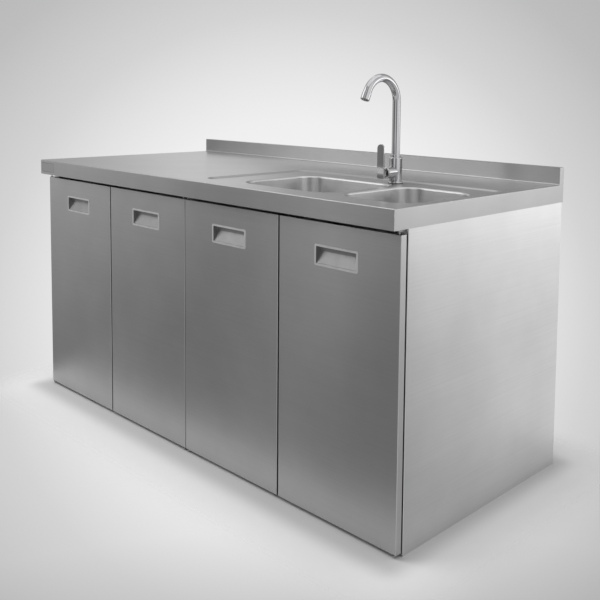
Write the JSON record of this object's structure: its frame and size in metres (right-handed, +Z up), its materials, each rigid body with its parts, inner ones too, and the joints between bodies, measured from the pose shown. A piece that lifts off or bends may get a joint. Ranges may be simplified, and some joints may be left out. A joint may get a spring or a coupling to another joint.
{
  "type": "kitchen sink unit",
  "caption": "Free-standing brushed steel kitchen sink unit with worktop, upstand, pressed bowls, swivel gooseneck mixer tap and hinged doors with recessed finger cups.",
  "frame": {"origin": "on the floor, at the centre of the worktop's outline", "axes": "+X along the unit to the right as seen from the front, +Y to the back, +Z up"},
  "size_m": [1.8, 0.8, 1.223],
  "materials": {
    "worktop_steel": "brushed",
    "door_steel": "brushed",
    "panel_steel": "brushed",
    "carcass_steel": "satin",
    "bowl_steel": "satin",
    "cup_steel": "satin",
    "tap_chrome": "polished",
    "waste_steel": "polished",
    "fastener_steel": "satin",
    "pipe_plastic": "satin",
    "nylon": "matte",
    "black_plastic": "matte",
    "black_rubber": "matte",
    "cartridge_plastic": "gloss",
    "brass": "satin",
    "plate_metal": "satin"
  },
  "bodies": {
    "cabinet": {"worktop": "worktop_steel", "name_plate": "plate_metal", "worktop_stiffeners": "carcass_steel", "bowl_left": "bowl_steel", "bowl_right": "bowl_steel", "side_panel_left": "panel_steel", "side_panel_right": "panel_steel", "centre_partition": "carcass_steel", "back_panel": "carcass_steel", "base_shelf": "carcass_steel", "front_rail": "carcass_steel", "rear_rail": "carcass_steel", "middle_shelf": "carcass_steel", "shelf_clips": "fastener_steel", "centre_feet": "black_plastic", "hinge_brackets_top": "fastener_steel", "hinge_brackets_bottom": "fastener_steel", "hinge_pins": "fastener_steel", "bracket_screws": "fastener_steel", "door_catches": "black_plastic", "strainer_body_left": "waste_steel", "strainer_body_right": "waste_steel", "waste_gaskets": "black_rubber", "waste_locknuts": "black_plastic", "link_pipe": "pipe_plastic", "tail_pipe": "pipe_plastic", "drain_tee": "pipe_plastic", "trap_body": "pipe_plastic", "trap_cup": "pipe_plastic", "outlet_pipe": "pipe_plastic", "slip_nuts": "pipe_plastic", "tap_gasket": "black_rubber", "tap_base_ring": "tap_chrome", "tap_body": "tap_chrome", "tap_stud_and_nut": "brass", "horseshoe_washer": "fastener_steel", "tap_cartridge": "cartridge_plastic", "tap_bonnet": "tap_chrome"},
    "door_1": {"door_1_skin": "door_steel", "door_1_liner": "carcass_steel", "door_1_cup": "cup_steel", "door_1_bushes": "nylon"},
    "door_2": {"door_2_skin": "door_steel", "door_2_liner": "carcass_steel", "door_2_cup": "cup_steel", "door_2_bushes": "nylon"},
    "door_3": {"door_3_skin": "door_steel", "door_3_liner": "carcass_steel", "door_3_cup": "cup_steel", "door_3_bushes": "nylon"},
    "door_4": {"door_4_skin": "door_steel", "door_4_liner": "carcass_steel", "door_4_cup": "cup_steel", "door_4_bushes": "nylon"},
    "spout": {"tap_spout": "tap_chrome", "tap_aerator": "tap_chrome"},
    "spindle": {"tap_spindle": "brass"},
    "lever": {"tap_lever": "tap_chrome"},
    "basket_left": {"strainer_basket_left": "waste_steel"},
    "basket_right": {"strainer_basket_right": "waste_steel"}
  },
  "joints": [
    {"name": "door_1_hinge", "type": "hinge", "parent": "cabinet", "child": "door_1", "pos_m": [-0.886, -0.3635, 0.416], "axis": [0, 0, -1], "range_deg": [0, 90]},
    {"name": "door_2_hinge", "type": "hinge", "parent": "cabinet", "child": "door_2", "pos_m": [-0.0115, -0.3635, 0.416], "axis": [0, 0, 1], "range_deg": [0, 90]},
    {"name": "door_3_hinge", "type": "hinge", "parent": "cabinet", "child": "door_3", "pos_m": [0.0115, -0.3635, 0.416], "axis": [0, 0, -1], "range_deg": [0, 90]},
    {"name": "door_4_hinge", "type": "hinge", "parent": "cabinet", "child": "door_4", "pos_m": [0.886, -0.3635, 0.416], "axis": [0, 0, 1], "range_deg": [0, 90]},
    {"name": "spout_swivel", "type": "hinge", "parent": "cabinet", "child": "spout", "pos_m": [0.503, 0.064, 0.97], "axis": [0, 0, 1], "continuous": true},
    {"name": "temperature_turn", "type": "hinge", "parent": "cabinet", "child": "spindle", "pos_m": [0.503, 0.022, 0.92], "axis": [0, -1, 0], "range_deg": [-45, 45]},
    {"name": "flow_tilt", "type": "hinge", "parent": "spindle", "child": "lever", "pos_m": [0.503, 0.006, 0.92], "axis": [1, 0, 0], "range_deg": [0, 25]},
    {"name": "basket_left_lift", "type": "slide", "parent": "cabinet", "child": "basket_left", "axis": [0, 0, 1], "range_m": [0, 0.08]},
    {"name": "basket_right_lift", "type": "slide", "parent": "cabinet", "child": "basket_right", "axis": [0, 0, 1], "range_m": [0, 0.08]}
  ]
}
